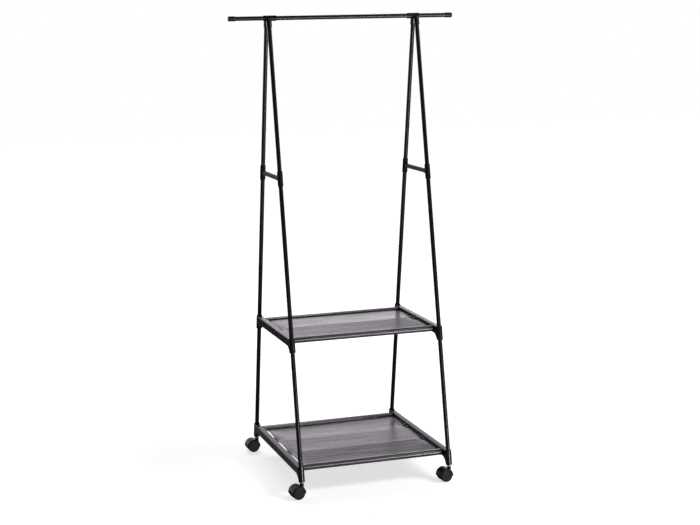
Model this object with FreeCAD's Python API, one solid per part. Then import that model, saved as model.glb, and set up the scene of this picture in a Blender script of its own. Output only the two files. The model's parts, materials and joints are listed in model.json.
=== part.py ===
import FreeCAD, Part
import math
import os

from FreeCAD import Vector

# Rolling clothes rack with two cloth shelves. Millimetres, +Z up, X along the hanging rail.
# Origin: on the floor, midway between the two A-shaped side frames.

# --- main sizes
RAIL_Z = 1600.0           # axis of the hanging rail above the floor
RAIL_END_X = 402.0        # tube end of the hanging rail
FRAME_X = 267.0           # middle of the rack to each side frame
LEG_TOP_Y = 14.4          # leg axis from the frame's middle, at rail height
LEG_LEAN = 10.3           # lean of every leg from the vertical, degrees
TUBE_R = 7.5              # all tubes
TUBE_WALL = 0.8
SOCKET_GAP = 0.05         # radial gap of a tube in a plastic socket

# --- end caps of the hanging rail
CAP_R = 8.75
CAP_LENGTH = 25.0
CAP_COVER = 21.0          # stretch of tube inside the cap
CAP_DOME = 3.0

# --- head connectors, rail to legs
COLLAR_R = 9.6
COLLAR_OUTWARD = 15.5     # collar length on the outer side of the legs
COLLAR_INWARD = 29.5
HEAD_SOCKET_TOP_Z = 1598.0
HEAD_SOCKET_END_Z = 1569.0
UPPER_TUBE_TOP_Z = 1589.0
HEAD_WEB_HALF = 4.0
HEAD_WEB_LOW_Z = 1574.0
HEAD_RIB_INWARD = 15.0    # small rib under the inner end of the collar
HEAD_RIB_HALF = 2.5

# --- leg ties, halfway up the hanging space
SLEEVE_R = 9.6
TIE_Z = 1062.5
TIE_SLEEVE_HALF = 25.0
TIE_HALF_HEIGHT = 6.6     # strut at its middle
TIE_END_HALF_HEIGHT = 12.5
TIE_FLARE = 26.0
TIE_HALF_THICK = 5.0
STOP_HALF = 2.0           # solid stop between two tubes in one sleeve

# --- side frames of the shelves
SIDE_SLEEVE_R = 10.8
BEAM_HALF = 9.5
BEAM_HEIGHT = 27.0
BEAM_WALL = 2.5
BEAM_EDGE = 2.0
GUSSET_LENGTH = 38.0
CHANNEL_END_IN = 62.0     # the hollow underside of the beam stops this far from the leg axis
SHELF_RAIL_IN = 31.0      # shelf rail axis from the leg axis
SHELF_RAIL_DROP = 12.0    # shelf rail axis below the beam's top
BOSS_R = 9.6
BOSS_LENGTH = 3.0
RAIL_DEPTH = 13.5         # shelf rail end inside the beam
MIDDLE_SLEEVE_Z = (482.8, 531.4)
MIDDLE_BEAM_TOP_Z = 529.0
BOTTOM_SLEEVE_Z = (54.6, 107.0)
BOTTOM_BEAM_TOP_Z = 104.0
LOWER_TUBE_END_Z = 82.0

# --- cloth hooks moulded on the inner side of each beam
HOOK_PITCH = 26.0         # the two hooks of a pair
HOOK_WIDTH = 8.0
HOOK_LENGTH = 12.5
HOOK_THICK = 2.4
HOOK_TIP = 2.0            # the tip turns down this far
HOOK_DROP = 5.1           # top of a hook below the beam's top
MIDDLE_HOOKS_Y = (0.0,)
BOTTOM_HOOKS_Y = (-85.0, 85.0)

# --- cloth shelves
CLOTH_HALF_X = 252.0
CLOTH_THICK = 1.6
CLOTH_DROP = 1.0          # flat middle of the cloth below the shelf rail axis
CLOTH_RISE = 4.0          # from the flat middle up to the edges
CLOTH_RAMP = 14.0         # width of the rising strip along the edges
HEM_R = 8.8
HEM_INNER_R = 7.6

# --- casters, each drawn with its stem axis on the local Z axis
CASTER_STEM_Z = 65.0      # height at which the stem axis meets the leg axis
TRAIL = 17.0
WHEEL_R = 22.0
WHEEL_INNER_Y = 5.5
WHEEL_OUTER_Y = 20.5
WHEEL_EDGE = 3.0
WHEEL_DISH_R = 18.5
WHEEL_DISH_DEPTH = 6.0
WHEEL_HUB_R = 6.5
WHEEL_GROOVE_R = (16.2, 17.4)
WHEEL_GROOVE_DEPTH = 0.8
AXLE_R = 3.0
AXLE_HALF = 17.0
AXLE_HOLE_END = 18.0
RUN_GAP = 0.05            # radial running gap of wheels and swivels
FENDER_R = 25.0
FENDER_INNER_R = 23.3
FENDER_HALF = 19.5
FENDER_BELOW_AXLE = 3.0
FENDER_EDGE = 1.0
WEB_HALF = 4.0
WEB_BELOW_AXLE = 8.0
NECK_R = 7.0
NECK_TOP_Z = 50.0
NECK_LOW_Z = 25.0
NECK_HALF = 4.7
STEM_R = 4.0
STEM_TOP_Z = 77.0
PIVOT_R = 3.0
PIVOT_LOW_Z = 26.5
STEM_COLLAR_R = 5.6
STEM_COLLAR_Z = (50.2, 51.8)
CASTER_YAW = {
    "left_front": 7.0,
    "right_front": 3.0,
    "left_rear": 2.0,
    "right_rear": -7.0,
}

ORIGIN = Vector(0, 0, 0)
UP = Vector(0, 0, 1)
ALONG_X = Vector(1, 0, 0)
ALONG_Y = Vector(0, 1, 0)
SLOPE = math.tan(math.radians(LEG_LEAN))


def leg_y(z):
    """Distance of a leg axis from the frame's middle at height z."""
    return LEG_TOP_Y + (RAIL_Z - z) * SLOPE


def leg_rod(z_low, z_high, radius, side):
    """Round bar on the axis of the front (side -1) or rear (side 1) leg."""
    low = Vector(0, side * leg_y(z_low), z_low)
    high = Vector(0, side * leg_y(z_high), z_high)
    run = high.sub(low)
    return Part.makeCylinder(radius, run.Length, low, run)


def rod_x(x_low, x_high, radius, y, z):
    return Part.makeCylinder(radius, x_high - x_low, Vector(x_low, y, z), ALONG_X)


def rod_y(y_low, y_high, radius, x, z):
    return Part.makeCylinder(radius, y_high - y_low, Vector(x, y_low, z), ALONG_Y)


def box(low, high):
    size = Vector(*high).sub(Vector(*low))
    return Part.makeBox(size.x, size.y, size.z, Vector(*low))


def fuse(shapes):
    return shapes[0].multiFuse(shapes[1:]).removeSplitter()


def circle_edges(shape):
    return [e for e in shape.Edges if isinstance(e.Curve, Part.Circle)]


def rounded(shape, radius):
    """Round the circular edges of a plain round bar."""
    return shape.makeFillet(radius, circle_edges(shape))


def tube(solid_rod, bore_rod):
    return solid_rod.cut(bore_rod)


def mirrored(shape):
    return shape.mirror(ORIGIN, ALONG_X)


def save(node, shape):
    shape.exportStep("parts/" + node + ".step")


# --- tubes

def hanging_rail():
    outer = rod_x(-RAIL_END_X, RAIL_END_X, TUBE_R, 0, RAIL_Z)
    inner = rod_x(-RAIL_END_X, RAIL_END_X, TUBE_R - TUBE_WALL, 0, RAIL_Z)
    return tube(outer, inner)


def leg_tube(z_low, z_high, side):
    outer = leg_rod(z_low, z_high, TUBE_R, side)
    inner = leg_rod(z_low, z_high, TUBE_R - TUBE_WALL, side)
    return tube(outer, inner)


def shelf_rail(y, z):
    end = FRAME_X - BEAM_HALF + RAIL_DEPTH
    outer = rod_x(-end, end, TUBE_R, y, z)
    inner = rod_x(-end, end, TUBE_R - TUBE_WALL, y, z)
    return tube(outer, inner)


# --- plastic mouldings, drawn for the right-hand side

def rail_cap():
    start = RAIL_END_X - CAP_COVER
    end = start + CAP_LENGTH
    body = rod_x(start, end, CAP_R, 0, RAIL_Z)
    tip = [e for e in circle_edges(body) if e.Curve.Center.x > end - 1.0]
    body = body.makeFillet(CAP_DOME, tip)
    hole = rod_x(start, RAIL_END_X, TUBE_R + SOCKET_GAP, 0, RAIL_Z)
    return body.cut(hole)


def head_connector():
    collar = rounded(rod_x(-COLLAR_INWARD, COLLAR_OUTWARD, COLLAR_R, 0, RAIL_Z), 1.0)
    parts = [collar]
    for side in (-1, 1):
        socket = leg_rod(HEAD_SOCKET_END_Z, HEAD_SOCKET_TOP_Z, COLLAR_R, side)
        parts.append(rounded(socket, 1.5))
    web_y = leg_y(HEAD_SOCKET_END_Z)
    parts.append(box((-HEAD_WEB_HALF, -web_y, HEAD_WEB_LOW_Z), (HEAD_WEB_HALF, web_y, RAIL_Z)))
    rib_low_z = RAIL_Z - COLLAR_R - 6.0
    outline = [(-HEAD_RIB_INWARD, RAIL_Z - COLLAR_R + 1.0), (0, RAIL_Z - COLLAR_R + 1.0), (0, rib_low_z)]
    corners = [Vector(x, -HEAD_RIB_HALF, z) for x, z in outline]
    rib = Part.Face(Part.makePolygon(corners + corners[:1]))
    parts.append(rib.extrude(Vector(0, 2 * HEAD_RIB_HALF, 0)))
    shape = fuse(parts)
    shape = shape.cut(rod_x(-COLLAR_INWARD, COLLAR_OUTWARD, TUBE_R + SOCKET_GAP, 0, RAIL_Z))
    for side in (-1, 1):
        shape = shape.cut(leg_rod(HEAD_WEB_LOW_Z - 20.0, UPPER_TUBE_TOP_Z, TUBE_R + SOCKET_GAP, side))
    shape.translate(Vector(FRAME_X, 0, 0))
    return shape


def tie_strut():
    """Bar between the two legs, deeper where it meets the sleeves."""
    reach = leg_y(TIE_Z)
    neck = reach - TIE_FLARE
    waist = neck + TIE_FLARE * 0.45
    swell = TIE_HALF_HEIGHT + 1.6
    top = [
        Vector(0, -reach, TIE_END_HALF_HEIGHT),
        Vector(0, -waist, swell),
        Vector(0, -neck, TIE_HALF_HEIGHT),
        Vector(0, neck, TIE_HALF_HEIGHT),
        Vector(0, waist, swell),
        Vector(0, reach, TIE_END_HALF_HEIGHT),
    ]
    under = [Vector(0, p.y, -p.z) for p in reversed(top)]
    outline = Part.makePolygon(top + under + top[:1])
    strut = Part.Face(outline).extrude(Vector(2 * TIE_HALF_THICK, 0, 0))
    strut.translate(Vector(-TIE_HALF_THICK, 0, TIE_Z))
    return strut


def leg_tie():
    parts = [tie_strut()]
    low = TIE_Z - TIE_SLEEVE_HALF
    high = TIE_Z + TIE_SLEEVE_HALF
    for side in (-1, 1):
        parts.append(rounded(leg_rod(low, high, SLEEVE_R, side), 0.8))
    shape = fuse(parts)
    for side in (-1, 1):
        shape = shape.cut(leg_rod(TIE_Z + STOP_HALF, high + 5.0, TUBE_R + SOCKET_GAP, side))
        shape = shape.cut(leg_rod(low - 5.0, TIE_Z - STOP_HALF, TUBE_R + SOCKET_GAP, side))
    shape.translate(Vector(FRAME_X, 0, 0))
    return shape


def beam(top_z):
    """Channel beam, open underneath, with rounded long edges."""
    reach = leg_y(top_z)
    bar = box((-BEAM_HALF, -reach, top_z - BEAM_HEIGHT), (BEAM_HALF, reach, top_z))
    long_edges = []
    for edge in bar.Edges:
        run = edge.Vertexes[1].Point.sub(edge.Vertexes[0].Point)
        if abs(run.y) > reach:
            long_edges.append(edge)
    bar = bar.makeFillet(BEAM_EDGE, long_edges)
    end = reach - CHANNEL_END_IN
    inside = BEAM_HALF - BEAM_WALL
    hollow = box((-inside, -end, top_z - BEAM_HEIGHT - 1.0), (inside, end, top_z - BEAM_WALL))
    return bar.cut(hollow)


def gusset(top_z, low_z, side):
    """Concave corner piece from the beam's underside down to the foot of the sleeve."""
    under_z = top_z - BEAM_HEIGHT
    leg = leg_y(low_z)
    start = Vector(0, leg_y(under_z) - SIDE_SLEEVE_R - GUSSET_LENGTH, under_z)
    foot = Vector(0, leg - SIDE_SLEEVE_R + 0.5, low_z + 2.0)
    bend = Vector(0, start.y + 0.74 * (foot.y - start.y), start.z + 0.36 * (foot.z - start.z))
    curve = Part.Arc(start, bend, foot).toShape()
    inner_foot = Vector(0, leg, low_z + 2.0)
    inner_top = Vector(0, leg_y(under_z), under_z + 6.0)
    start_top = Vector(0, start.y, under_z + 6.0)
    wire = Part.Wire([
        curve,
        Part.makeLine(foot, inner_foot),
        Part.makeLine(inner_foot, inner_top),
        Part.makeLine(inner_top, start_top),
        Part.makeLine(start_top, start),
    ])
    plate = Part.Face(wire).extrude(Vector(2 * (BEAM_HALF - 1.0), 0, 0))
    plate.translate(Vector(-(BEAM_HALF - 1.0), 0, 0))
    if side < 0:
        plate = plate.mirror(ORIGIN, ALONG_Y)
    return plate


def hook_pair(top_z, y):
    """Two short tabs with down-turned tips that hold the side edge of the cloth."""
    hooks = []
    top = top_z - HOOK_DROP
    under = top - HOOK_THICK
    end_x = -BEAM_HALF - HOOK_LENGTH
    for step in (-0.5, 0.5):
        low_y = y + step * HOOK_PITCH - HOOK_WIDTH / 2
        high_y = low_y + HOOK_WIDTH
        hooks.append(box((end_x, low_y, under), (-BEAM_HALF + 1.0, high_y, top)))
        hooks.append(box((end_x, low_y, under - HOOK_TIP), (end_x + 2.0, high_y, top)))
    return hooks


def side_frame(sleeve_z, top_z, hooks_y):
    """One-piece side of a shelf: beam, two leg sleeves, corner gussets, rail bosses and hooks."""
    low_z, high_z = sleeve_z
    rail_y = leg_y(top_z) - SHELF_RAIL_IN
    rail_z = top_z - SHELF_RAIL_DROP
    parts = [beam(top_z)]
    for side in (-1, 1):
        parts.append(rounded(leg_rod(low_z, high_z, SIDE_SLEEVE_R, side), 1.2))
        parts.append(gusset(top_z, low_z, side))
        parts.append(rod_x(-BEAM_HALF - BOSS_LENGTH, 0, BOSS_R, side * rail_y, rail_z))
    for y in hooks_y:
        parts.extend(hook_pair(top_z, y))
    shape = fuse(parts)
    for side in (-1, 1):
        mouth = -BEAM_HALF - BOSS_LENGTH - 1.0
        end = -BEAM_HALF + RAIL_DEPTH
        shape = shape.cut(rod_x(mouth, end, TUBE_R + SOCKET_GAP, side * rail_y, rail_z))
    return shape


def middle_side_frame():
    low_z, high_z = MIDDLE_SLEEVE_Z
    stop_z = (low_z + high_z) / 2
    shape = side_frame(MIDDLE_SLEEVE_Z, MIDDLE_BEAM_TOP_Z, MIDDLE_HOOKS_Y)
    for side in (-1, 1):
        shape = shape.cut(leg_rod(stop_z + STOP_HALF, high_z + 5.0, TUBE_R + SOCKET_GAP, side))
        shape = shape.cut(leg_rod(low_z - 5.0, stop_z - STOP_HALF, TUBE_R + SOCKET_GAP, side))
    shape.translate(Vector(FRAME_X, 0, 0))
    return shape


def bottom_side_frame():
    low_z, high_z = BOTTOM_SLEEVE_Z
    shape = side_frame(BOTTOM_SLEEVE_Z, BOTTOM_BEAM_TOP_Z, BOTTOM_HOOKS_Y)
    for side in (-1, 1):
        shape = shape.cut(leg_rod(LOWER_TUBE_END_Z, high_z + 5.0, TUBE_R + SOCKET_GAP, side))
        foot = Vector(0, side * leg_y(CASTER_STEM_Z), low_z - 5.0)
        shape = shape.cut(Part.makeCylinder(STEM_R + RUN_GAP, STEM_TOP_Z + 0.5 - foot.z, foot))
    shape.translate(Vector(FRAME_X, 0, 0))
    return shape


# --- cloth

def ramp(start, crest, end, flat_z, length, run):
    """Bar under a strip that rises from flat_z at start to full height at crest, then stays level."""
    low_z = flat_z - 4 * CLOTH_RISE
    high_z = flat_z + CLOTH_RISE
    outline = [(start, low_z), (start, flat_z), (crest, high_z), (end, high_z), (end, low_z)]
    points = []
    for across, z in outline:
        place = Vector(across, 0, z) if run == ALONG_Y else Vector(0, across, z)
        point = place.sub(run * length)
        if not points or (point - points[-1]).Length > 0.001:
            points.append(point)
    face = Part.Face(Part.makePolygon(points + points[:1]))
    return face.extrude(run * (2 * length))


def tray(rail_y, flat_z):
    """Thin sheet, flat in the middle and rising gently to its four edges."""
    crest_y = rail_y - HEM_R
    low_z = flat_z - 4 * CLOTH_RISE
    parts = [box((-CLOTH_HALF_X, -rail_y, low_z), (CLOTH_HALF_X, rail_y, flat_z))]
    for side in (-1, 1):
        start_x = side * (CLOTH_HALF_X - CLOTH_RAMP)
        end_x = side * CLOTH_HALF_X
        start_y = side * (crest_y - CLOTH_RAMP)
        parts.append(ramp(start_x, end_x, end_x, flat_z, rail_y, ALONG_Y))
        parts.append(ramp(start_y, side * crest_y, side * rail_y, flat_z, CLOTH_HALF_X, ALONG_X))
    under = fuse(parts)
    lowered = under.copy()
    lowered.translate(Vector(0, 0, -CLOTH_THICK))
    sheet = under.cut(lowered)
    return sheet.common(box((-CLOTH_HALF_X, -rail_y, low_z), (CLOTH_HALF_X, rail_y, flat_z + 10.0)))


def shelf_cloth(top_z):
    """Cloth sheet with a round hem along each shelf rail."""
    rail_y = leg_y(top_z) - SHELF_RAIL_IN
    rail_z = top_z - SHELF_RAIL_DROP
    parts = [tray(rail_y, rail_z - CLOTH_DROP + CLOTH_THICK / 2)]
    for side in (-1, 1):
        parts.append(rod_x(-CLOTH_HALF_X, CLOTH_HALF_X, HEM_R, side * rail_y, rail_z))
    shape = fuse(parts)
    for side in (-1, 1):
        shape = shape.cut(rod_x(-CLOTH_HALF_X, CLOTH_HALF_X, HEM_INNER_R, side * rail_y, rail_z))
    return shape


# --- casters

def caster_stem():
    stem = Part.makeCylinder(STEM_R, STEM_TOP_Z - STEM_COLLAR_Z[0], Vector(0, 0, STEM_COLLAR_Z[0]))
    collar = Part.makeCylinder(STEM_COLLAR_R, STEM_COLLAR_Z[1] - STEM_COLLAR_Z[0],
                               Vector(0, 0, STEM_COLLAR_Z[0]))
    pivot = Part.makeCylinder(PIVOT_R, STEM_TOP_Z - PIVOT_LOW_Z, Vector(0, 0, PIVOT_LOW_Z))
    return fuse([stem, collar, pivot])


def caster_hood():
    outer = rounded(rod_y(-FENDER_HALF, FENDER_HALF, FENDER_R, -TRAIL, WHEEL_R), FENDER_EDGE)
    wheel_space = rod_y(-FENDER_HALF - 1.0, FENDER_HALF + 1.0, FENDER_INNER_R, -TRAIL, WHEEL_R)
    far = 3 * FENDER_R
    above_fender = box((-far, -far, WHEEL_R - FENDER_BELOW_AXLE), (far, far, far))
    fender = outer.cut(wheel_space).common(above_fender)
    above_web = box((-far, -far, WHEEL_R - WEB_BELOW_AXLE), (far, far, far))
    web = rod_y(-WEB_HALF, WEB_HALF, FENDER_INNER_R + 0.5, -TRAIL, WHEEL_R).common(above_web)
    neck = Part.makeCylinder(NECK_R, NECK_TOP_Z - NECK_LOW_Z, Vector(0, 0, NECK_LOW_Z))
    slab = box((-NECK_R, -NECK_HALF, NECK_LOW_Z), (NECK_R, NECK_HALF, NECK_TOP_Z))
    shape = fuse([fender, web, neck.cut(wheel_space), neck.common(slab)])
    bore_low = PIVOT_LOW_Z - 0.5
    bore = Part.makeCylinder(PIVOT_R + RUN_GAP, NECK_TOP_Z - bore_low + 1.0, Vector(0, 0, bore_low))
    axle_hole = rod_y(-WEB_HALF - 1.0, WEB_HALF + 1.0, AXLE_R + RUN_GAP, -TRAIL, WHEEL_R)
    return shape.cut(bore).cut(axle_hole)


def caster_axle():
    return rounded(rod_y(-AXLE_HALF, AXLE_HALF, AXLE_R, -TRAIL, WHEEL_R), 0.4)


def caster_wheel():
    """Rear-side wheel: rounded tread, ringed outer face, hollow inner face round the hub."""
    tread = rounded(rod_y(WHEEL_INNER_Y, WHEEL_OUTER_Y, WHEEL_R, -TRAIL, WHEEL_R), WHEEL_EDGE)
    dish_end = WHEEL_INNER_Y + WHEEL_DISH_DEPTH
    dish = rod_y(WHEEL_INNER_Y - 1.0, dish_end, WHEEL_DISH_R, -TRAIL, WHEEL_R)
    hub = rod_y(WHEEL_INNER_Y - 1.0, dish_end, WHEEL_HUB_R, -TRAIL, WHEEL_R)
    groove_y = WHEEL_OUTER_Y - WHEEL_GROOVE_DEPTH
    groove = rod_y(groove_y, WHEEL_OUTER_Y + 1.0, WHEEL_GROOVE_R[1], -TRAIL, WHEEL_R)
    disc = rod_y(groove_y, WHEEL_OUTER_Y + 1.0, WHEEL_GROOVE_R[0], -TRAIL, WHEEL_R)
    bore = rod_y(WHEEL_INNER_Y - 1.0, AXLE_HOLE_END, AXLE_R + RUN_GAP, -TRAIL, WHEEL_R)
    return tread.cut(dish.cut(hub)).cut(groove.cut(disc)).cut(bore)


def placed_caster(shape, corner):
    """Turn a caster piece about its stem and move it under one leg."""
    part = shape.copy()
    side, end = corner.split("_")
    part.rotate(ORIGIN, UP, CASTER_YAW[corner])
    x = FRAME_X if side == "right" else -FRAME_X
    y = leg_y(CASTER_STEM_Z)
    part.translate(Vector(x, y if end == "rear" else -y, 0))
    return part


# --- the whole rack

def save_pair(name, right_shape):
    save(name + "_right", right_shape)
    save(name + "_left", mirrored(right_shape))


def save_legs():
    middle_stop = sum(MIDDLE_SLEEVE_Z) / 2
    spans = {
        "upper_leg": (TIE_Z + STOP_HALF, UPPER_TUBE_TOP_Z),
        "middle_leg": (middle_stop + STOP_HALF, TIE_Z - STOP_HALF),
        "lower_leg": (LOWER_TUBE_END_Z, middle_stop - STOP_HALF),
    }
    for name, (z_low, z_high) in spans.items():
        for end, side in (("front", -1), ("rear", 1)):
            leg = leg_tube(z_low, z_high, side)
            leg.translate(Vector(FRAME_X, 0, 0))
            save_pair(name + "_" + end, leg)


def save_shelf(level, top_z):
    rail_y = leg_y(top_z) - SHELF_RAIL_IN
    rail_z = top_z - SHELF_RAIL_DROP
    save(level + "_shelf_rail_front", shelf_rail(-rail_y, rail_z))
    save(level + "_shelf_rail_rear", shelf_rail(rail_y, rail_z))
    save(level + "_shelf_cloth", shelf_cloth(top_z))


def save_casters():
    far_wheel = caster_wheel()
    pieces = {
        "stem": caster_stem(),
        "hood": caster_hood(),
        "axle": caster_axle(),
        "wheel_rear": far_wheel,
        "wheel_front": far_wheel.mirror(ORIGIN, ALONG_Y),
    }
    for corner in CASTER_YAW:
        for name, shape in pieces.items():
            save("caster_" + corner + "_" + name, placed_caster(shape, corner))


os.makedirs("parts", exist_ok=True)
save("hanging_rail", hanging_rail())
save_pair("rail_cap", rail_cap())
save_pair("head_connector", head_connector())
save_pair("leg_tie", leg_tie())
save_pair("middle_side_frame", middle_side_frame())
save_pair("bottom_side_frame", bottom_side_frame())
save_legs()
save_shelf("middle", MIDDLE_BEAM_TOP_Z)
save_shelf("bottom", BOTTOM_BEAM_TOP_Z)
save_casters()
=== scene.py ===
import json
import math

import bpy
from mathutils import Matrix, Vector, noise


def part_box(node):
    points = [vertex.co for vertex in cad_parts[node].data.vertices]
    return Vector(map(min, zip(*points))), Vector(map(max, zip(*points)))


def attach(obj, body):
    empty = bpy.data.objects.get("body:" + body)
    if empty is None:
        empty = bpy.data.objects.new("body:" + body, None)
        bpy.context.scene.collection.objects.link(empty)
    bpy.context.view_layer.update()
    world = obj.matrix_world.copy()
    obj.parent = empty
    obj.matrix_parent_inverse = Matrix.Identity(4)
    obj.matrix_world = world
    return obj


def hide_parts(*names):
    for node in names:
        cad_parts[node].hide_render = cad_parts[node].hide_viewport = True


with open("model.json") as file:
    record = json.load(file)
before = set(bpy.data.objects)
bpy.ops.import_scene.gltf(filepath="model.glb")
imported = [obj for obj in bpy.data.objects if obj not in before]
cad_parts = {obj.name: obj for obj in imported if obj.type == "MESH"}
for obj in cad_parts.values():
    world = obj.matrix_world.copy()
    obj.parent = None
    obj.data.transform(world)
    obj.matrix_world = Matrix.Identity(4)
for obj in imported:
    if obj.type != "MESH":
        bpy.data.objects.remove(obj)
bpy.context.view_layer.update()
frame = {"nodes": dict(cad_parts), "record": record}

# Rolling clothes rack: satin tubes and plastic mouldings from the frame, two stretched cloth shelves,
# a white studio floor and soft light. Metres, +Z up, X along the hanging rail.

MM = 0.001
RACK = "rack"
UP = Vector((0, 0, 1))

# --- cloth shelves
CLOTH_THICK = 0.7 * MM
HEM_R = 9.8 * MM              # middle of the cloth round a shelf rail
FRONT_HEM_FALL = 1.5 * MM     # the top of a hem drops this much before it turns down
REAR_HEM_FALL = 3.2 * MM
HEM_CORNER = 2.4 * MM
SEAM_IN = 14.0 * MM           # seam of the hem, inwards from the rail axis
SEAM_DROP = 1.8 * MM
HEM_TAIL = 7.0 * MM           # hem allowance below the sheet, inwards from the seam
SHEET_DROP = 1.8 * MM         # level of the sheet below the rail axis
TIED_EDGE_UP = 0.6 * MM       # side edges at the beam's tabs, above the rail axis, under the tabs
FREE_EDGE_UP = 4.6 * MM       # and midway between the tabs, where the edge curls up
EDGE_REACH = 20.0 * MM        # strip along the side edges that bends down to them
TIE_GAP = 4.5 * MM            # cloth edge to beam at a tie
BEAM_INNER_X = 257.5 * MM
HEM_END_X = 253.0 * MM

HEM_BLEND = 12.0 * MM         # strip in which the sheet's side edges run out to the hem ends
TAIL_GAP = 1.1 * MM           # hem allowance below the seam
TAIL_DROOP = 0.5 * MM
CORNER_SET_BACK = 0.6 * MM    # the hem's inner corner stands back from the seam
HEM_PUCKER = 0.18 * MM
CREASE_HALF_WIDTH = 2.6 * MM
SEAM_SETTLE = 5.0 * MM        # strip beside a seam where the sheet comes down to it
EDGE_FREE_DEPTH = 0.07        # share of the shelf's depth over which the hems let the sheet go
HELD_POWER = 0.8
SAG_POWER = 0.8
SAG_AT_EDGE = 0.35            # share of the sag that is left at a side edge
SAG_ACROSS_POWER = 2.4
BILLOW = 0.9 * MM             # heights of the waves in the sheet
LONG_WAVE = 0.25 * MM
SHORT_WAVE = 0.1 * MM
DRAWN_LINE = 0.5 * MM
DRAWN_FROM_X = 190.0 * MM     # the drawn lines begin here and reach full height over the ramp
DRAWN_RAMP = 60.0 * MM
RIPPLE_FROM = 0.45            # the front ripples, in shares of half the shelf's depth
RIPPLE_RAMP = 0.5
COLUMNS = 220
ROWS_INSIDE = 300
HEM_STEPS = 40
TAIL_STEPS = 3
UNDER_STEPS = 5
TOP_STEPS = 6
CORNER_STEPS = 5
CORNER_STEP_ANGLE = 15.0      # degrees
HEM_OPENING_ANGLE = 4.0       # the hem leaves its lower run this far past the tangent
DROP_STEPS = 8

# --- stitches
STITCH_PITCH = 4.2 * MM
STITCH_LENGTH = 3.1 * MM
STITCH_HALF_WIDTH = 0.3 * MM
STITCH_RISE = 0.22 * MM
STITCH_SIDES = 6
STITCH_RINGS = 5
STITCH_BLUNT = 0.12           # how blunt a stitch's ends are
SEAM_STITCH_IN = 1.6 * MM     # from the seam into the sheet
EDGE_STITCH_IN = 5.5 * MM     # from a side edge
STITCH_END_GAP = 6.0 * MM     # no stitches this close to a corner

# --- finishes
EMBOSS_PITCH = 1.7 * MM
SCUFFED = (0.07, 0.07, 0.075)
TUBE_DUST = (0.1, 0.1, 0.1)
RUBBED = (0.085, 0.085, 0.09)
PLASTIC_DUST = (0.13, 0.128, 0.13)
CLOTH_DUST = (0.32, 0.31, 0.3)
DULL_ZINC = (0.4, 0.4, 0.42)

# --- studio
FLOOR_HALF = 14.0
FLOOR_WHITE = ((0.86, 0.86, 0.865), (0.88, 0.88, 0.885))
FLOOR_DIM = (0.11, 0.105, 0.115)      # the floor as reflections and bounced light meet it
FLOOR_GLOW = (0.68, 1.0)              # near the rack and far away, as the camera sees it
FLOOR_GLOW_R = (0.7, 3.0)
FLOOR_BOUNCE = 0.08                   # painted glow: extra light from the floor near the rack
FLOOR_BOUNCE_R = (0.8, 1.8)
FLOOR_FRONT_GLOW = 0.6                # and a painted glow from the floor in front of it
FLOOR_FRONT_Y = (-0.5, -1.1)
BACKDROP_Y = (0.1, 0.85)              # how far back a direction looks, and the light from there
BACKDROP_LEVEL = (0.08, 2.8)
BACKDROP_Z = (0.08, 0.36)             # how high it looks, and how much of that light is left
BACKDROP_LEFT = (1.0, 0.1)
BACKDROP_TINT = (0.98, 0.93, 1.0, 1.0)
LIGHTS = (                            # name, place, aim, size, watts
    ("key_upper_right", (2.6, -1.9, 3.2), (0.0, 0.0, 0.5), (1.6, 1.6), 75.0),
    ("front_low", (1.5, -3.3, 0.14), (0.0, 0.0, 0.25), (1.4, 0.24), 70.0),
    ("rear_bank", (0.0, 2.4, 2.8), (0.0, 0.0, 0.5), (2.2, 1.2), 35.0),
)
CAMERA_PLACE = (-1.6249, -4.9741, 1.6365)
CAMERA_TURN = (18.2491, 8.6551, -0.918)      # to the right, down, and roll, degrees
CAMERA_LENS = 77.19
CAMERA_SHIFT_UP = -0.04


# --- small helpers for shader trees

def add(tree, kind, inputs=None, **settings):
    """One shader node; an input given as a socket is linked, anything else is set."""
    node = tree.nodes.new(kind)
    for name, value in settings.items():
        setattr(node, name, value)
    for name, value in (inputs or {}).items():
        if isinstance(value, bpy.types.NodeSocket):
            tree.links.new(value, node.inputs[name])
        else:
            node.inputs[name].default_value = value
    return node


def maths(tree, operation, a, b=0.0, c=None, clamp=False):
    inputs = {0: a, 1: b}
    if c is not None:
        inputs[2] = c
    return add(tree, "ShaderNodeMath", inputs, operation=operation, use_clamp=clamp).outputs[0]


def spread(tree, value, low, high, to_low=0.0, to_high=1.0):
    """Maps low..high of a value to a new range, held at both ends."""
    node = add(tree, "ShaderNodeMapRange", {
        "Value": value, "From Min": low, "From Max": high, "To Min": to_low, "To Max": to_high,
    })
    return node.outputs["Result"]


def blend_colours(tree, factor, first, second):
    node = add(tree, "ShaderNodeMix", data_type="RGBA")
    for socket, value in ((0, factor), (6, first), (7, second)):
        if isinstance(value, bpy.types.NodeSocket):
            tree.links.new(value, node.inputs[socket])
        elif socket:
            node.inputs[socket].default_value = (*value, 1.0)
        else:
            node.inputs[socket].default_value = value
    return node.outputs[2]


def new_group(name, inputs, outputs):
    """Empty shader group: inputs maps names to default values, outputs maps names to socket kinds."""
    group = bpy.data.node_groups.new(name, "ShaderNodeTree")
    for socket, default in inputs.items():
        kind = "NodeSocketFloat" if isinstance(default, (int, float)) else "NodeSocketVector"
        made = group.interface.new_socket(socket, in_out="INPUT", socket_type=kind)
        made.default_value = default
    for socket, kind in outputs.items():
        group.interface.new_socket(socket, in_out="OUTPUT", socket_type=kind)
    return group, group.nodes.new("NodeGroupInput").outputs, group.nodes.new("NodeGroupOutput").inputs


def use(tree, group, **values):
    node = add(tree, "ShaderNodeGroup", node_tree=group)
    for name, value in values.items():
        socket = node.inputs[name.replace("_", " ")]
        if isinstance(value, bpy.types.NodeSocket):
            tree.links.new(value, socket)
        else:
            socket.default_value = value
    return node.outputs


# --- shared surface effects

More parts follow.
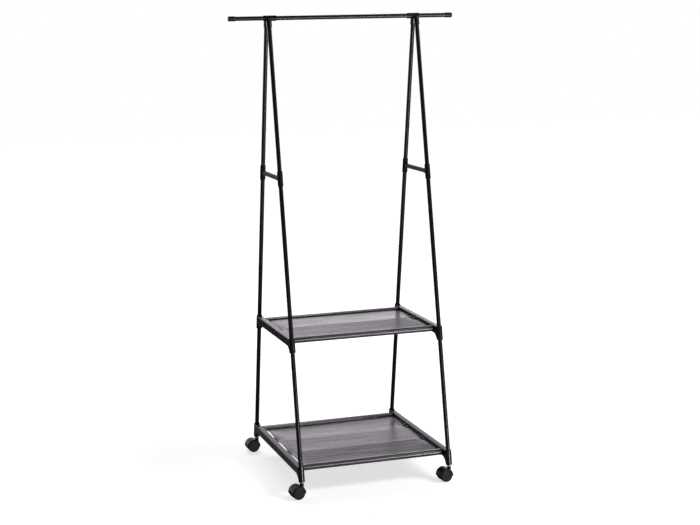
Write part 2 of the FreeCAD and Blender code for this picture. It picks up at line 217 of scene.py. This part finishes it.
def grain_group():
    """Fine moulded or sprayed grain: a height and a slow light-dark drift."""
    group, given, result = new_group("fine_grain", {"Size": 0.8, "Drift Size": 60.0},
                                     {"Height": "NodeSocketFloat", "Drift": "NodeSocketFloat"})
    place = add(group, "ShaderNodeTexCoord").outputs["Object"]
    per_metre = maths(group, "DIVIDE", 1000.0, given["Size"])
    fine = add(group, "ShaderNodeTexNoise", {"Vector": place, "Scale": per_metre, "Detail": 3.0})
    slow_scale = maths(group, "DIVIDE", 1000.0, given["Drift Size"])
    slow = add(group, "ShaderNodeTexNoise", {"Vector": place, "Scale": slow_scale, "Detail": 4.0})
    group.links.new(fine.outputs["Fac"], result["Height"])
    group.links.new(spread(group, slow.outputs["Fac"], 0.3, 0.7), result["Drift"])
    return group


def wear_group():
    """Rubbed corners, broken up by noise."""
    group, given, result = new_group("rubbed_edges", {"Amount": 0.5}, {"Mask": "NodeSocketFloat"})
    point = add(group, "ShaderNodeNewGeometry").outputs["Pointiness"]
    place = add(group, "ShaderNodeTexCoord").outputs["Object"]
    patch = add(group, "ShaderNodeTexNoise", {"Vector": place, "Scale": 160.0, "Detail": 5.0})
    corner = spread(group, point, 0.53, 0.62)
    broken = maths(group, "MULTIPLY", corner, spread(group, patch.outputs["Fac"], 0.4, 0.65))
    group.links.new(maths(group, "MULTIPLY", broken, given["Amount"], clamp=True), result["Mask"])
    return group


def dust_group():
    """A little dust on faces that look up."""
    group, given, result = new_group("settled_dust", {"Amount": 0.3}, {"Mask": "NodeSocketFloat"})
    coords = add(group, "ShaderNodeTexCoord").outputs
    up = add(group, "ShaderNodeSeparateXYZ", {0: coords["Normal"]}).outputs["Z"]
    cloud = add(group, "ShaderNodeTexNoise", {"Vector": coords["Object"], "Scale": 45.0, "Detail": 8.0,
                                              "Roughness": 0.65})
    fleck = spread(group, cloud.outputs["Fac"], 0.42, 0.75)
    lying = maths(group, "MULTIPLY", spread(group, up, 0.35, 0.95), fleck)
    group.links.new(maths(group, "MULTIPLY", lying, given["Amount"], clamp=True), result["Mask"])
    return group


def scratch_group():
    """Hairline scratches along one axis, from a noise that is stretched along it."""
    group, given, result = new_group("hairline_scratches", {"Stretch": (0.02, 1.0, 1.0), "Amount": 0.5},
                                     {"Mask": "NodeSocketFloat"})
    place = add(group, "ShaderNodeTexCoord").outputs["Object"]
    drawn = add(group, "ShaderNodeVectorMath", {0: place, 1: given["Stretch"]}, operation="MULTIPLY")
    lines = add(group, "ShaderNodeTexNoise", {"Vector": drawn.outputs[0], "Scale": 2600.0,
                                              "Detail": 2.0})
    thin = spread(group, lines.outputs["Fac"], 0.66, 0.74)
    group.links.new(maths(group, "MULTIPLY", thin, given["Amount"], clamp=True), result["Mask"])
    return group


GRAIN = grain_group()
WEAR = wear_group()
DUST = dust_group()
SCRATCHES = scratch_group()


# --- materials

def new_material(name):
    made = bpy.data.materials.new(name)
    made.use_nodes = True
    tree = made.node_tree
    tree.nodes.clear()
    output = tree.nodes.new("ShaderNodeOutputMaterial")
    shader = tree.nodes.new("ShaderNodeBsdfPrincipled")
    tree.links.new(shader.outputs[0], output.inputs["Surface"])
    return made, tree, shader


def connect(tree, shader, colour, roughness, height, strength, distance):
    """Colour, roughness and bump of a principled shader."""
    bump = add(tree, "ShaderNodeBump", {"Strength": strength, "Distance": distance, "Height": height})
    tree.links.new(colour, shader.inputs["Base Color"])
    tree.links.new(roughness, shader.inputs["Roughness"])
    tree.links.new(bump.outputs[0], shader.inputs["Normal"])


def powder_coat(name, base, lighter, rough, gloss, scratch_axis, scratch_amount):
    """Satin black powder coat on steel tube, with fine orange peel and a few rubbed lines."""
    made, tree, shader = new_material(name)
    grain = use(tree, GRAIN, Size=1.1, Drift_Size=85.0)
    peel = use(tree, GRAIN, Size=2.0, Drift_Size=30.0)
    scratches = use(tree, SCRATCHES, Stretch=scratch_axis, Amount=scratch_amount)["Mask"]
    dust = use(tree, DUST, Amount=0.12)["Mask"]
    colour = blend_colours(tree, grain["Drift"], base, lighter)
    colour = blend_colours(tree, scratches, colour, SCUFFED)
    colour = blend_colours(tree, dust, colour, TUBE_DUST)
    rough_low = spread(tree, peel["Drift"], 0.0, 1.0, rough - 0.02, rough + 0.03)
    rough_all = maths(tree, "MULTIPLY_ADD", dust, 0.3, rough_low)
    peel_height = maths(tree, "MULTIPLY_ADD", peel["Height"], 1.2, grain["Height"])
    connect(tree, shader, colour, rough_all, peel_height, 0.05, 0.0002)
    shader.inputs["Specular IOR Level"].default_value = gloss
    return made


def moulded_plastic(name, base, lighter, rough, gloss, grain_size, bump, wear, dusty):
    """Matt moulded plastic with a spark-eroded grain, rubbed corners and a trace of dust."""
    made, tree, shader = new_material(name)
    grain = use(tree, GRAIN, Size=grain_size, Drift_Size=38.0)
    worn = use(tree, WEAR, Amount=wear)["Mask"]
    dust = use(tree, DUST, Amount=dusty)["Mask"]
    colour = blend_colours(tree, grain["Drift"], base, lighter)
    colour = blend_colours(tree, worn, colour, RUBBED)
    colour = blend_colours(tree, dust, colour, PLASTIC_DUST)
    rough_low = spread(tree, grain["Drift"], 0.0, 1.0, rough - 0.05, rough + 0.06)
    rough_worn = maths(tree, "MULTIPLY_ADD", worn, -0.14, rough_low)
    rough_all = maths(tree, "MULTIPLY_ADD", dust, 0.2, rough_worn, clamp=True)
    connect(tree, shader, colour, rough_all, grain["Height"], bump, 0.00025)
    shader.inputs["Specular IOR Level"].default_value = gloss
    return made


def wheel_plastic(name):
    """Wheel: satin face discs, and a tread that is scuffed and dustier."""
    made, tree, shader = new_material(name)
    side = add(tree, "ShaderNodeSeparateXYZ", {0: add(tree, "ShaderNodeTexCoord").outputs["Normal"]})
    facing = maths(tree, "ABSOLUTE", side.outputs["Y"])
    tread = spread(tree, facing, 0.75, 0.35)
    grain = use(tree, GRAIN, Size=0.7, Drift_Size=16.0)
    scuffs = use(tree, GRAIN, Size=3.2, Drift_Size=7.0)
    rubbed = maths(tree, "MULTIPLY", tread, spread(tree, scuffs["Height"], 0.42, 0.66))
    colour = blend_colours(tree, grain["Drift"], (0.003, 0.003, 0.004), (0.006, 0.006, 0.008))
    colour = blend_colours(tree, rubbed, colour, (0.02, 0.0195, 0.0195))
    colour = blend_colours(tree, use(tree, WEAR, Amount=0.4)["Mask"], colour, (0.05, 0.05, 0.054))
    rough = maths(tree, "MULTIPLY_ADD", tread, 0.2, spread(tree, scuffs["Drift"], 0.0, 1.0, 0.38, 0.5))
    height = maths(tree, "MULTIPLY_ADD", rubbed, 1.5, grain["Height"])
    connect(tree, shader, colour, rough, height, 0.2, 0.0002)
    shader.inputs["Specular IOR Level"].default_value = 0.22
    return made


def zinc_steel(name):
    """Zinc plated pin: bright, with turned rings and slightly dull patches."""
    made, tree, shader = new_material(name)
    rings = use(tree, SCRATCHES, Stretch=(0.05, 0.05, 1.0), Amount=0.7)["Mask"]
    grain = use(tree, GRAIN, Size=1.5, Drift_Size=9.0)
    colour = blend_colours(tree, grain["Drift"], (0.55, 0.55, 0.57), (0.74, 0.74, 0.75))
    colour = blend_colours(tree, rings, colour, DULL_ZINC)
    plain_rough = spread(tree, grain["Drift"], 0.0, 1.0, 0.24, 0.36)
    rough = maths(tree, "MULTIPLY_ADD", rings, 0.15, plain_rough)
    connect(tree, shader, colour, rough, grain["Height"], 0.12, 0.0001)
    shader.inputs["Metallic"].default_value = 1.0
    return made


def nonwoven_cloth(name, base, lighter, fibre):
    """Pressed non-woven cloth: diamond grid of embossed dots with painted shade, loose fibres, a soft
    sheen.
    """
    made, tree, shader = new_material(name)
    place = add(tree, "ShaderNodeTexCoord").outputs["Object"]
    axes = add(tree, "ShaderNodeSeparateXYZ", {0: place}).outputs
    wave = 2 * math.pi / EMBOSS_PITCH
    along = maths(tree, "MULTIPLY", axes["X"], wave)
    across = maths(tree, "MULTIPLY", axes["Y"], wave)
    dots = maths(tree, "MULTIPLY", maths(tree, "SINE", along), maths(tree, "SINE", across))
    dots = spread(tree, dots, 0.25, 0.8)
    fibres = add(tree, "ShaderNodeTexNoise", {"Vector": place, "Scale": 1800.0, "Detail": 5.0,
                                              "Distortion": 1.2})
    streak_place = add(tree, "ShaderNodeVectorMath", {0: place, 1: (0.12, 1.0, 1.0)},
                       operation="MULTIPLY")
    streaks = add(tree, "ShaderNodeTexNoise", {"Vector": streak_place.outputs[0], "Scale": 70.0,
                                               "Detail": 6.0, "Roughness": 0.6})
    grain = use(tree, GRAIN, Size=5.0, Drift_Size=90.0)
    patches = maths(tree, "MULTIPLY", grain["Drift"], 0.4)
    tone = maths(tree, "MULTIPLY_ADD", streaks.outputs["Fac"], 0.6, patches)
    colour = blend_colours(tree, spread(tree, tone, 0.25, 0.75), base, lighter)
    loose = spread(tree, fibres.outputs["Fac"], 0.55, 0.75, 0.0, 0.5)
    colour = blend_colours(tree, loose, colour, fibre)
    # Painted shade: the colour darkens in the pressed-in dots.
    dot_painted_shade = maths(tree, "MULTIPLY", dots, 0.35)
    colour = blend_colours(tree, dot_painted_shade, colour, tuple(0.6 * c for c in base))
    colour = blend_colours(tree, use(tree, DUST, Amount=0.12)["Mask"], colour, CLOTH_DUST)
    rough = spread(tree, streaks.outputs["Fac"], 0.3, 0.7, 0.24, 0.36)
    height = maths(tree, "MULTIPLY_ADD", dots, -0.8, fibres.outputs["Fac"])
    connect(tree, shader, colour, rough, height, 0.25, 0.00012)
    shader.inputs["Specular IOR Level"].default_value = 0.75
    shader.inputs["Specular Tint"].default_value = (1.0, 0.95, 1.0, 1.0)
    shader.inputs["Sheen Weight"].default_value = 0.08
    shader.inputs["Sheen Roughness"].default_value = 0.4
    shader.inputs["Sheen Tint"].default_value = (0.9, 0.87, 0.92, 1.0)
    return made


def thread(name, base, lighter):
    """Twisted sewing thread."""
    made, tree, shader = new_material(name)
    place = add(tree, "ShaderNodeTexCoord").outputs["Object"]
    twist = add(tree, "ShaderNodeTexWave", {"Vector": place, "Scale": 900.0, "Distortion": 1.0},
                bands_direction="DIAGONAL")
    colour = blend_colours(tree, twist.outputs["Fac"], base, lighter)
    rough = spread(tree, twist.outputs["Fac"], 0.0, 1.0, 0.5, 0.7)
    connect(tree, shader, colour, rough, twist.outputs["Fac"], 0.4, 0.0001)
    return made


def studio_floor(name):
    """Plain pale floor with the faintest mottle, glowing whiter out to the backdrop; painted glow
    lights the rack.
    """
    made, tree, shader = new_material(name)
    grain = use(tree, GRAIN, Size=3.0, Drift_Size=900.0)
    white = blend_colours(tree, grain["Drift"], *FLOOR_WHITE)
    seen = add(tree, "ShaderNodeLightPath").outputs["Is Camera Ray"]
    colour = blend_colours(tree, seen, FLOOR_DIM, white)
    rough = spread(tree, grain["Drift"], 0.0, 1.0, 0.8, 0.9)
    connect(tree, shader, colour, rough, grain["Height"], 0.02, 0.0002)
    shader.inputs["Specular IOR Level"].default_value = 0.0
    place = add(tree, "ShaderNodeTexCoord").outputs["Object"]
    out = add(tree, "ShaderNodeVectorMath", {0: place}, operation="LENGTH").outputs["Value"]
    far = spread(tree, out, *FLOOR_GLOW_R, *FLOOR_GLOW)
    # Painted glow for light and reflections only: near the rack and on the floor in front of it.
    near = spread(tree, out, *FLOOR_BOUNCE_R, FLOOR_BOUNCE, 0.0)
    depth = add(tree, "ShaderNodeSeparateXYZ", {0: place}).outputs["Y"]
    lit = maths(tree, "ADD", near, spread(tree, depth, *FLOOR_FRONT_Y, 0.0, FLOOR_FRONT_GLOW))
    other = maths(tree, "MULTIPLY", lit, maths(tree, "SUBTRACT", 1.0, seen))
    glow = maths(tree, "MULTIPLY_ADD", far, seen, other)
    tree.links.new(glow, shader.inputs["Emission Strength"])
    shader.inputs["Emission Color"].default_value = (1.0, 1.0, 1.0, 1.0)
    return made


FINISHES = {
    "black_tube": powder_coat("satin_tube_coat", (0.004, 0.004, 0.007), (0.007, 0.007, 0.011), 0.3, 0.2,
                              (1.0, 1.0, 0.02), 0.15),
    "black_moulding": moulded_plastic("moulded_black", (0.005, 0.005, 0.008), (0.009, 0.009, 0.013),
                                      0.26, 0.26, 0.9, 0.1, 0.3, 0.04),
    "caster_hood": moulded_plastic("hood_black", (0.003, 0.003, 0.004), (0.006, 0.006, 0.007),
                                   0.4, 0.2, 0.8, 0.25, 0.3, 0.03),
    "caster_wheel": wheel_plastic("wheel_black"),
    "bright_steel": zinc_steel("zinc_pin"),
}
TIE_FINISH = moulded_plastic("matt_tie_black", (0.004, 0.004, 0.006), (0.007, 0.007, 0.01),
                             0.55, 0.1, 0.9, 0.15, 0.2, 0.02)
RAIL_FINISH = powder_coat("satin_rail_coat", (0.006, 0.006, 0.009), (0.01, 0.01, 0.014), 0.26, 0.4,
                          (1.0, 0.03, 0.03), 0.4)
CLOTH_FINISH = nonwoven_cloth("grey_nonwoven", (0.03, 0.027, 0.032), (0.055, 0.05, 0.058),
                              (0.1, 0.093, 0.104))
THREAD_FINISH = thread("dark_thread", (0.03, 0.028, 0.03), (0.075, 0.07, 0.075))


def finish_frame_nodes():
    """Each node kept from the frame takes the finish of its material slot."""
    slot_of = {piece["node"]: piece["material_slot"] for piece in frame["record"]["subparts"]}
    special = {"hanging_rail": RAIL_FINISH, "leg_tie_left": TIE_FINISH, "leg_tie_right": TIE_FINISH}
    for name, obj in frame["nodes"].items():
        look = special.get(name, FINISHES.get(slot_of[name]))
        if look is None:
            continue
        obj.data.materials.clear()
        obj.data.materials.append(look)


# --- cloth shelves

def smooth(t):
    t = min(max(t, 0.0), 1.0)
    return t * t * (3 - 2 * t)


class Shelf:
    """One cloth shelf: where its rails are, where its edges are tied, and how its sheet lies."""

    def __init__(self, level, ties, scallop, slopes, creases, corner, sag, ripple):
        low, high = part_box(level + "_shelf_rail_front")
        back_low, back_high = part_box(level + "_shelf_rail_rear")
        self.level = level
        self.rail_y = (back_low.y + back_high.y) / 2
        self.rail_z = (low.z + high.z) / 2
        self.ties = ties
        self.scallop = scallop
        self.slopes = slopes
        self.creases = creases
        self.corner = corner
        self.sag = sag
        self.ripple = ripple

    def held(self, y):
        """1 at a tie or a hem, 0 midway between two of them."""
        stops = [-self.rail_y + SEAM_IN] + list(self.ties) + [self.rail_y - SEAM_IN]
        for first, second in zip(stops, stops[1:]):
            if first <= y <= second:
                t = (y - first) / (second - first)
                return 1.0 - math.sin(math.pi * t) ** HELD_POWER
        return 1.0

    def half_width(self, y):
        inside = BEAM_INNER_X - self.scallop + (self.scallop - TIE_GAP) * self.held(y)
        to_hem = smooth((abs(y) - (self.rail_y - SEAM_IN - HEM_BLEND / 2)) / HEM_BLEND)
        return inside + (HEM_END_X - inside) * to_hem

    def fold(self, y):
        """Old fold lines that run along the shelf, as a chain of straight slopes with soft corners."""
        total = 0.0
        steps = (-1.0, -0.5, 0.0, 0.5, 1.0)
        for step in steps:
            place = (y + step * self.corner) / (self.rail_y - SEAM_IN)
            place = min(max(place, -1.0), 1.0)
            for (y0, z0), (y1, z1) in zip(self.slopes, self.slopes[1:]):
                if y0 <= place <= y1:
                    total += z0 + (z1 - z0) * (place - y0) / (y1 - y0)
                    break
        return total / len(steps)

    def crease(self, x, y):
        """Thin pressed lines across the sheet, given as (place, height, wander)."""
        total = 0.0
        for place, height, wander in self.creases:
            drift = wander * noise.noise(Vector((x * 9.0, place * 50.0, 2.0)))
            off = (y - place * (self.rail_y - SEAM_IN) - drift) / CREASE_HALF_WIDTH
            total += height * math.exp(-off ** 2)
        return total

    def wrinkle(self, x, y):
        """Slow billows, long waves that grow to the front, and short drawn lines at the sides."""
        calm = noise.noise(Vector((x * 3.0 + 7.0, y * 9.0, self.rail_z)))
        long_waves = noise.noise(Vector((x * 4.0, y * 34.0, self.rail_z + 3.0)))
        short = noise.noise(Vector((x * 22.0, y * 60.0, self.rail_z + 9.0)))
        front = smooth((-y / self.rail_y - RIPPLE_FROM) / RIPPLE_RAMP)
        side = smooth((abs(x) - DRAWN_FROM_X) / DRAWN_RAMP)
        drawn = noise.noise(Vector((x * 14.0, y * 55.0, self.rail_z + 5.0)))
        wave = BILLOW * calm + (LONG_WAVE + self.ripple * front) * long_waves
        return wave + SHORT_WAVE * short + DRAWN_LINE * side * drawn

    def sheet_height(self, x, y):
        """Middle surface of the sheet between the two hem seams."""
        half = self.half_width(y)
        span = self.rail_y - SEAM_IN
        depth = 1.0 - (y / span) ** 2
        across = 1.0 - min(abs(x) / half, 1.0) ** SAG_ACROSS_POWER
        z = self.rail_z - SHEET_DROP
        z -= self.sag * max(depth, 0.0) ** SAG_POWER * (SAG_AT_EDGE + (1 - SAG_AT_EDGE) * across)
        free = smooth(max(depth, 0.0) / EDGE_FREE_DEPTH)
        z += (self.fold(y) + self.crease(x, y) + self.wrinkle(x, y)) * free
        away = half - abs(x)
        edge_z = self.rail_z + FREE_EDGE_UP + (TIED_EDGE_UP - FREE_EDGE_UP) * self.held(y)
        z += (edge_z - z) * math.exp(-(away / EDGE_REACH) ** 2) * free
        settle = math.exp(-(span - abs(y)) / SEAM_SETTLE)
        return z + (self.rail_z - SEAM_DROP - z) * settle


def between(first, last, steps):
    """Points between two ends, without the ends themselves."""
    return [tuple(a + (b - a) * i / steps for a, b in zip(first, last)) for i in range(1, steps)]


def hem_outline(fall):
    """Run of cloth round a rail, from the tail under the sheet to the seam on top.

    Points are (inward, up) from the rail axis.
    """
    tail = []
    for i in range(TAIL_STEPS + 1):
        out = 1 - i / TAIL_STEPS
        tail.append((SEAM_IN + HEM_TAIL * out, -SEAM_DROP - TAIL_GAP - TAIL_DROOP * out))
    tangent = math.degrees(math.acos(HEM_R / SEAM_IN))
    start, stop = HEM_OPENING_ANGLE - tangent, -270.0
    run = []
    for i in range(HEM_STEPS + 1):
        angle = math.radians(start + (stop - start) * i / HEM_STEPS)
        run.append((HEM_R * math.cos(angle), HEM_R * math.sin(angle)))
    turn_in = SEAM_IN - HEM_CORNER - CORNER_SET_BACK
    top = []
    for i in range(1, TOP_STEPS + 1):
        t = i / TOP_STEPS
        top.append((turn_in * t, HEM_R - fall * t ** 2))
    corner = []
    for i in range(1, CORNER_STEPS + 1):
        angle = math.radians(90.0 - CORNER_STEP_ANGLE * i)
        up = HEM_R - fall - HEM_CORNER * (1 - math.sin(angle))
        corner.append((turn_in + HEM_CORNER * math.cos(angle), up))
    under = between(tail[-1], run[0], UNDER_STEPS)
    drop = between(corner[-1], (SEAM_IN, -SEAM_DROP), DROP_STEPS)
    return tail + under + run + top + corner + drop


def cloth_rows(shelf):
    """Rows of the cloth from the front tail to the rear tail, as (y, up, in the sheet)."""
    rows = [(-shelf.rail_y + inward, up, False) for inward, up in hem_outline(FRONT_HEM_FALL)]
    span = shelf.rail_y - SEAM_IN
    for i in range(ROWS_INSIDE + 1):
        rows.append((-span + 2 * span * i / ROWS_INSIDE, 0.0, True))
    rear_hem = reversed(hem_outline(REAR_HEM_FALL))
    rows += [(shelf.rail_y - inward, up, False) for inward, up in rear_hem]
    return rows


def cloth_point(shelf, row, u):
    y, up, in_sheet = row
    if in_sheet:
        x = u * shelf.half_width(y)
        return Vector((x, y, shelf.sheet_height(x, y)))
    pucker = HEM_PUCKER * noise.noise(Vector((u * 30.0, y * 40.0, up * 90.0)))
    x = u * HEM_END_X
    lift = 1.0 + pucker / HEM_R
    middle = shelf.rail_y if y > 0 else -shelf.rail_y
    return Vector((x, middle + (y - middle) * lift, shelf.rail_z + up * lift))


def smooth_object(name, vertices, faces, material):
    mesh = bpy.data.meshes.new(name)
    mesh.from_pydata(vertices, [], faces)
    mesh.polygons.foreach_set("use_smooth", [True] * len(mesh.polygons))
    obj = bpy.data.objects.new(name, mesh)
    bpy.context.collection.objects.link(obj)
    mesh.materials.append(material)
    return obj


def make_cloth(shelf):
    """The whole cloth of a shelf as one quad grid, given its thickness by a modifier."""
    vertices = []
    for row in cloth_rows(shelf):
        for c in range(COLUMNS):
            vertices.append(cloth_point(shelf, row, -1.0 + 2.0 * c / (COLUMNS - 1)))
    faces = []
    for r in range(len(vertices) // COLUMNS - 1):
        for c in range(COLUMNS - 1):
            a = r * COLUMNS + c
            faces.append((a, a + 1, a + COLUMNS + 1, a + COLUMNS))
    cloth = smooth_object(shelf.level + "_shelf_fabric", vertices, faces, CLOTH_FINISH)
    thick = cloth.modifiers.new("cloth_thickness", "SOLIDIFY")
    thick.thickness = CLOTH_THICK
    thick.offset = 0.0
    thick.use_rim = True
    return cloth


def stitch_run(places, name):
    """Short raised stitches, each a small flattened bead between two points on the cloth."""
    vertices, faces = [], []
    for start, end in places:
        run = end - start
        cross = run.cross(UP).normalized()
        base = len(vertices)
        for i in range(STITCH_RINGS):
            t = i / (STITCH_RINGS - 1)
            swell = math.sin(math.pi * (STITCH_BLUNT + (1 - 2 * STITCH_BLUNT) * t))
            centre = start + run * t + UP * (STITCH_RISE * swell)
            for k in range(STITCH_SIDES):
                turn = 2 * math.pi * k / STITCH_SIDES
                vertices.append(centre + cross * (STITCH_HALF_WIDTH * swell * math.cos(turn))
                                + UP * (STITCH_RISE * swell * math.sin(turn)))
        for i in range(STITCH_RINGS - 1):
            for k in range(STITCH_SIDES):
                a = base + i * STITCH_SIDES + k
                b = base + i * STITCH_SIDES + (k + 1) % STITCH_SIDES
                faces.append((a, b, b + STITCH_SIDES, a + STITCH_SIDES))
        last = base + (STITCH_RINGS - 1) * STITCH_SIDES
        faces.append(tuple(base + k for k in reversed(range(STITCH_SIDES))))
        faces.append(tuple(last + k for k in range(STITCH_SIDES)))
    return smooth_object(name, vertices, faces, THREAD_FINISH)


def on_sheet(shelf, x, y):
    return Vector((x, y, shelf.sheet_height(x, y) + CLOTH_THICK / 2))


def seam_stitches(shelf, side):
    """Row of stitches along a hem seam, as pairs of ends."""
    places = []
    y = side * (shelf.rail_y - SEAM_IN - SEAM_STITCH_IN)
    count = int(2 * (HEM_END_X - STITCH_END_GAP) / STITCH_PITCH)
    for i in range(count):
        x = -HEM_END_X + STITCH_END_GAP + i * STITCH_PITCH
        places.append((on_sheet(shelf, x, y), on_sheet(shelf, x + STITCH_LENGTH, y)))
    return places


def edge_stitches(shelf, side):
    """Row of stitches along a side edge of the sheet, as pairs of ends."""
    places = []
    reach = shelf.rail_y - SEAM_IN - STITCH_END_GAP
    for i in range(int(2 * reach / STITCH_PITCH)):
        start = -reach + i * STITCH_PITCH
        ends = []
        for y in (start, start + STITCH_LENGTH):
            ends.append(on_sheet(shelf, side * (shelf.half_width(y) - EDGE_STITCH_IN), y))
        places.append(tuple(ends))
    return places


def add_shelf(shelf):
    cloth = make_cloth(shelf)
    stitches = []
    name = shelf.level + "_shelf_stitches_"
    for end, side in (("front", -1), ("rear", 1)):
        stitches.append(stitch_run(seam_stitches(shelf, side), name + end))
    for end, side in (("left", -1), ("right", 1)):
        stitches.append(stitch_run(edge_stitches(shelf, side), name + end))
    for piece in [cloth] + stitches:
        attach(piece, RACK)
    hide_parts(shelf.level + "_shelf_cloth")
    flat_depth = 2 * (shelf.rail_y - SEAM_IN)
    for fall in (FRONT_HEM_FALL, REAR_HEM_FALL):
        outline = hem_outline(fall)
        flat_depth += sum(math.dist(a, b) for a, b in zip(outline, outline[1:]))


# --- studio

def soft_light(name, place, aim, size, watts):
    data = bpy.data.lights.new(name, "AREA")
    data.shape = "RECTANGLE"
    data.size, data.size_y = size
    data.energy = watts
    light = bpy.data.objects.new(name, data)
    light.location = place
    light.rotation_euler = (Vector(aim) - Vector(place)).to_track_quat("-Z", "Y").to_euler()
    light.visible_camera = False
    bpy.context.collection.objects.link(light)


def studio_world():
    """White all round for the camera; softer and darker from the front for light and reflections."""
    world = bpy.data.worlds.new("studio")
    bpy.context.scene.world = world
    world.use_nodes = True
    tree = world.node_tree
    tree.nodes.clear()
    direction = add(tree, "ShaderNodeTexCoord").outputs["Generated"]
    axes = add(tree, "ShaderNodeSeparateXYZ", {0: direction}).outputs
    behind = spread(tree, axes["Y"], *BACKDROP_Y, *BACKDROP_LEVEL)
    up = spread(tree, axes["Z"], *BACKDROP_Z, *BACKDROP_LEFT)
    level = maths(tree, "MULTIPLY", behind, up)
    seen = add(tree, "ShaderNodeBackground", {"Color": (1, 1, 1, 1), "Strength": 1.0})
    lighting = add(tree, "ShaderNodeBackground", {"Color": BACKDROP_TINT, "Strength": level})
    camera_ray = add(tree, "ShaderNodeLightPath").outputs["Is Camera Ray"]
    mixed = add(tree, "ShaderNodeMixShader", {0: camera_ray, 1: lighting.outputs[0],
                                              2: seen.outputs[0]})
    output = tree.nodes.new("ShaderNodeOutputWorld")
    tree.links.new(mixed.outputs[0], output.inputs["Surface"])


def floor():
    mesh = bpy.data.meshes.new("studio_floor")
    corners = [(x * FLOOR_HALF, y * FLOOR_HALF, 0) for x, y in ((-1, -1), (1, -1), (1, 1), (-1, 1))]
    mesh.from_pydata(corners, [], [(0, 1, 2, 3)])
    obj = bpy.data.objects.new("studio_floor", mesh)
    bpy.context.collection.objects.link(obj)
    obj.data.materials.append(studio_floor("studio_white"))


def camera():
    yaw, pitch, roll = (math.radians(a) for a in CAMERA_TURN)
    ahead = Vector((math.sin(yaw) * math.cos(pitch), math.cos(yaw) * math.cos(pitch), -math.sin(pitch)))
    level = Vector((math.cos(yaw), -math.sin(yaw), 0.0))
    upward = level.cross(ahead)
    right = math.cos(roll) * level + math.sin(roll) * upward
    top = -math.sin(roll) * level + math.cos(roll) * upward
    turn = Matrix((right, top, -ahead)).transposed().to_4x4()
    data = bpy.data.cameras.new("camera")
    data.sensor_width = 36.0
    data.lens = CAMERA_LENS
    data.shift_y = CAMERA_SHIFT_UP
    data.clip_start = 0.1
    data.clip_end = 100.0
    obj = bpy.data.objects.new("camera", data)
    obj.matrix_world = Matrix.Translation(CAMERA_PLACE) @ turn
    bpy.context.collection.objects.link(obj)
    bpy.context.scene.camera = obj


finish_frame_nodes()
add_shelf(Shelf("middle", ties=(0.0,), scallop=8.5 * MM, corner=3 * MM, sag=0.6 * MM,
                ripple=0.4 * MM,
                slopes=[(-1.0, 0.0), (-0.05, 9.5 * MM), (0.93, 5.5 * MM), (1.0, 0.0)],
                creases=[(-0.05, 0.3 * MM, 0.6 * MM), (0.45, -0.2 * MM, 1.5 * MM)]))
add_shelf(Shelf("bottom", ties=(-85 * MM, 85 * MM), scallop=11.5 * MM, corner=5 * MM, sag=0.8 * MM,
                ripple=1.1 * MM,
                slopes=[(-1.0, 0.0), (-0.4, 8.0 * MM), (0.22, 7.5 * MM), (0.95, 2.5 * MM),
                        (1.0, 0.0)],
                creases=[(-0.4, 0.3 * MM, 1.0 * MM), (0.22, 0.25 * MM, 1.0 * MM),
                         (-0.6, -0.4 * MM, 5.0 * MM), (-0.74, -0.4 * MM, 6.0 * MM)]))
studio_world()
floor()
camera()
for light in LIGHTS:
    soft_light(*light)

bpy.context.scene.view_settings.view_transform = "Standard"
bpy.context.scene.view_settings.look = "None"
bpy.context.scene.view_settings.exposure = 0.0
